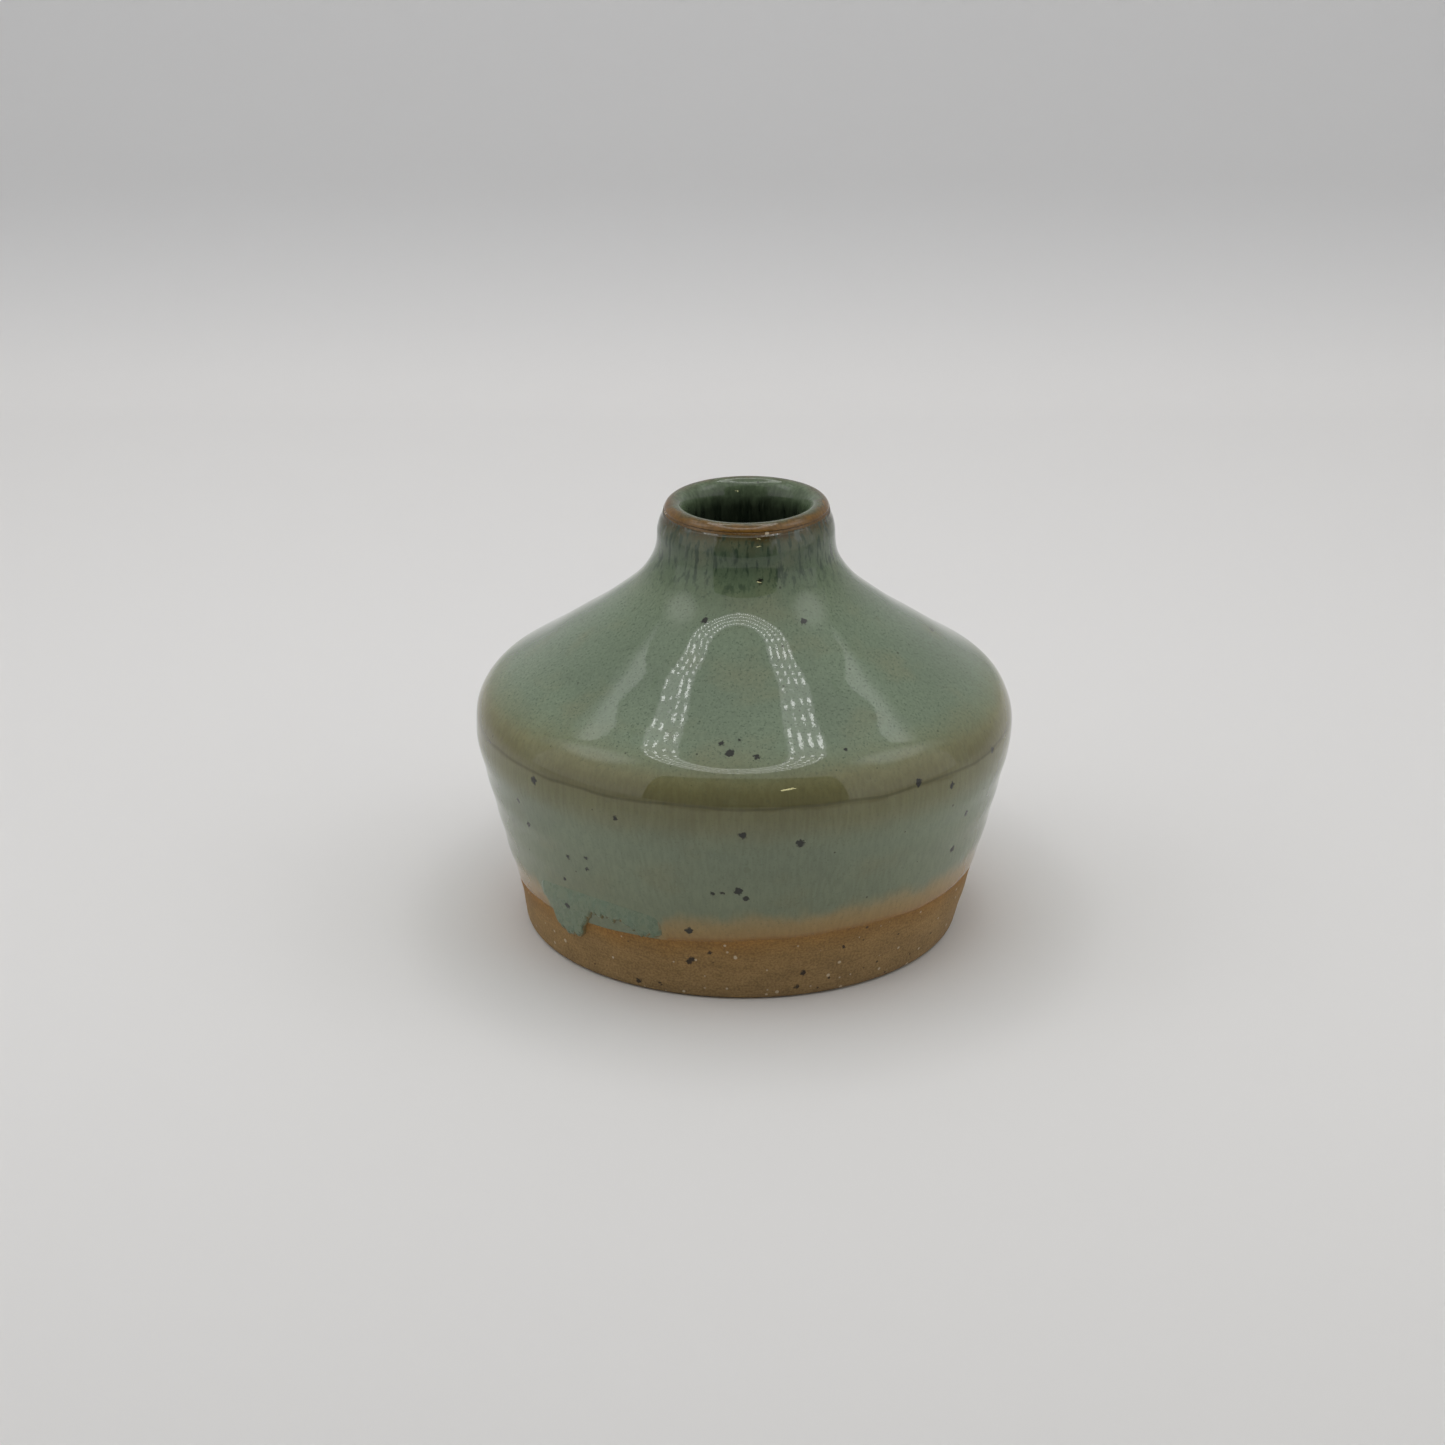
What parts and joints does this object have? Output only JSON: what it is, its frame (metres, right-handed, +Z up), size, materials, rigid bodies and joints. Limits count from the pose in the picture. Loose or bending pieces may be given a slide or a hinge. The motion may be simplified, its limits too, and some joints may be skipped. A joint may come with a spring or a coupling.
{
  "type": "bud vase",
  "caption": "Small thrown stoneware bud vase with a broad sloping shoulder, a short narrow neck, a mottled green glaze and a bare clay foot.",
  "frame": {"origin": "centre of the foot, on the plane that the vase stands on", "axes": "+Z up along the axis of the vase and out of its mouth, -Y towards the side with the thick glaze run to its left"},
  "size_m": [0.076, 0.076, 0.0612],
  "materials": {
    "raw_stoneware": "bare fired clay with grog, iron specks and an orange flashing line under the glaze",
    "outer_glaze": "glossy mottled green glaze, olive where it is thin, tan at its lower edge, with iron specks",
    "liner_glaze": "glossy green liner glaze, breaking brown at the outer edge of the lip",
    "glaze_run": "thick opaque blue-green glaze run with a soft gloss"
  },
  "bodies": {
    "root": {"stoneware_body": "raw_stoneware", "outer_glaze": "outer_glaze", "liner_glaze": "liner_glaze", "glaze_run": "glaze_run"}
  },
  "joints": []
}
